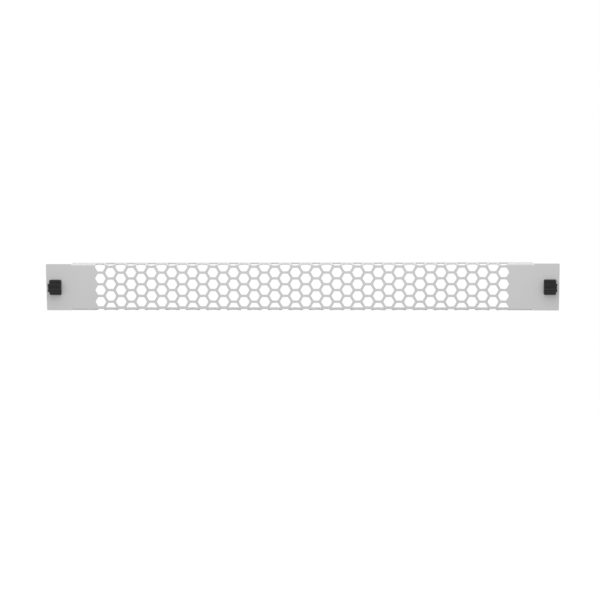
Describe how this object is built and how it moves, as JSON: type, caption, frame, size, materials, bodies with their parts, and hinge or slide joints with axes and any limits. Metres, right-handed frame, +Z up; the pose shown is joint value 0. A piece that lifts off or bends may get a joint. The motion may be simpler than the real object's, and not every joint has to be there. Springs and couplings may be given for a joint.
{
  "type": "rack blanking panel",
  "caption": "Vented 19-inch 1U rack blanking panel: folded steel sheet with hexagonal holes and push-pull snap fasteners at its ends.",
  "frame": {"origin": "on the plane where the panel's back meets the rack rails, at the middle of its width and height", "axes": "+X along the panel to the right as seen from the front, +Y into the rack, +Z up"},
  "size_m": [0.4826, 0.0195, 0.0442],
  "materials": {
    "powder_coated_steel": "fine satin powder coat, light grey",
    "black_plastic": "moulded, fine texture",
    "ribbed_black_plastic": "moulded, satin"
  },
  "bodies": {
    "panel": {"perforated_panel": "powder_coated_steel", "left_grommet": "black_plastic", "right_grommet": "black_plastic"},
    "left_plunger": {"left_plunger": "ribbed_black_plastic"},
    "right_plunger": {"right_plunger": "ribbed_black_plastic"}
  },
  "joints": [
    {"name": "left_pull", "type": "slide", "parent": "panel", "child": "left_plunger", "axis": [0, -1, 0], "range_m": [0, 0.0045]},
    {"name": "right_pull", "type": "slide", "parent": "panel", "child": "right_plunger", "axis": [0, -1, 0], "range_m": [0, 0.0045]}
  ]
}
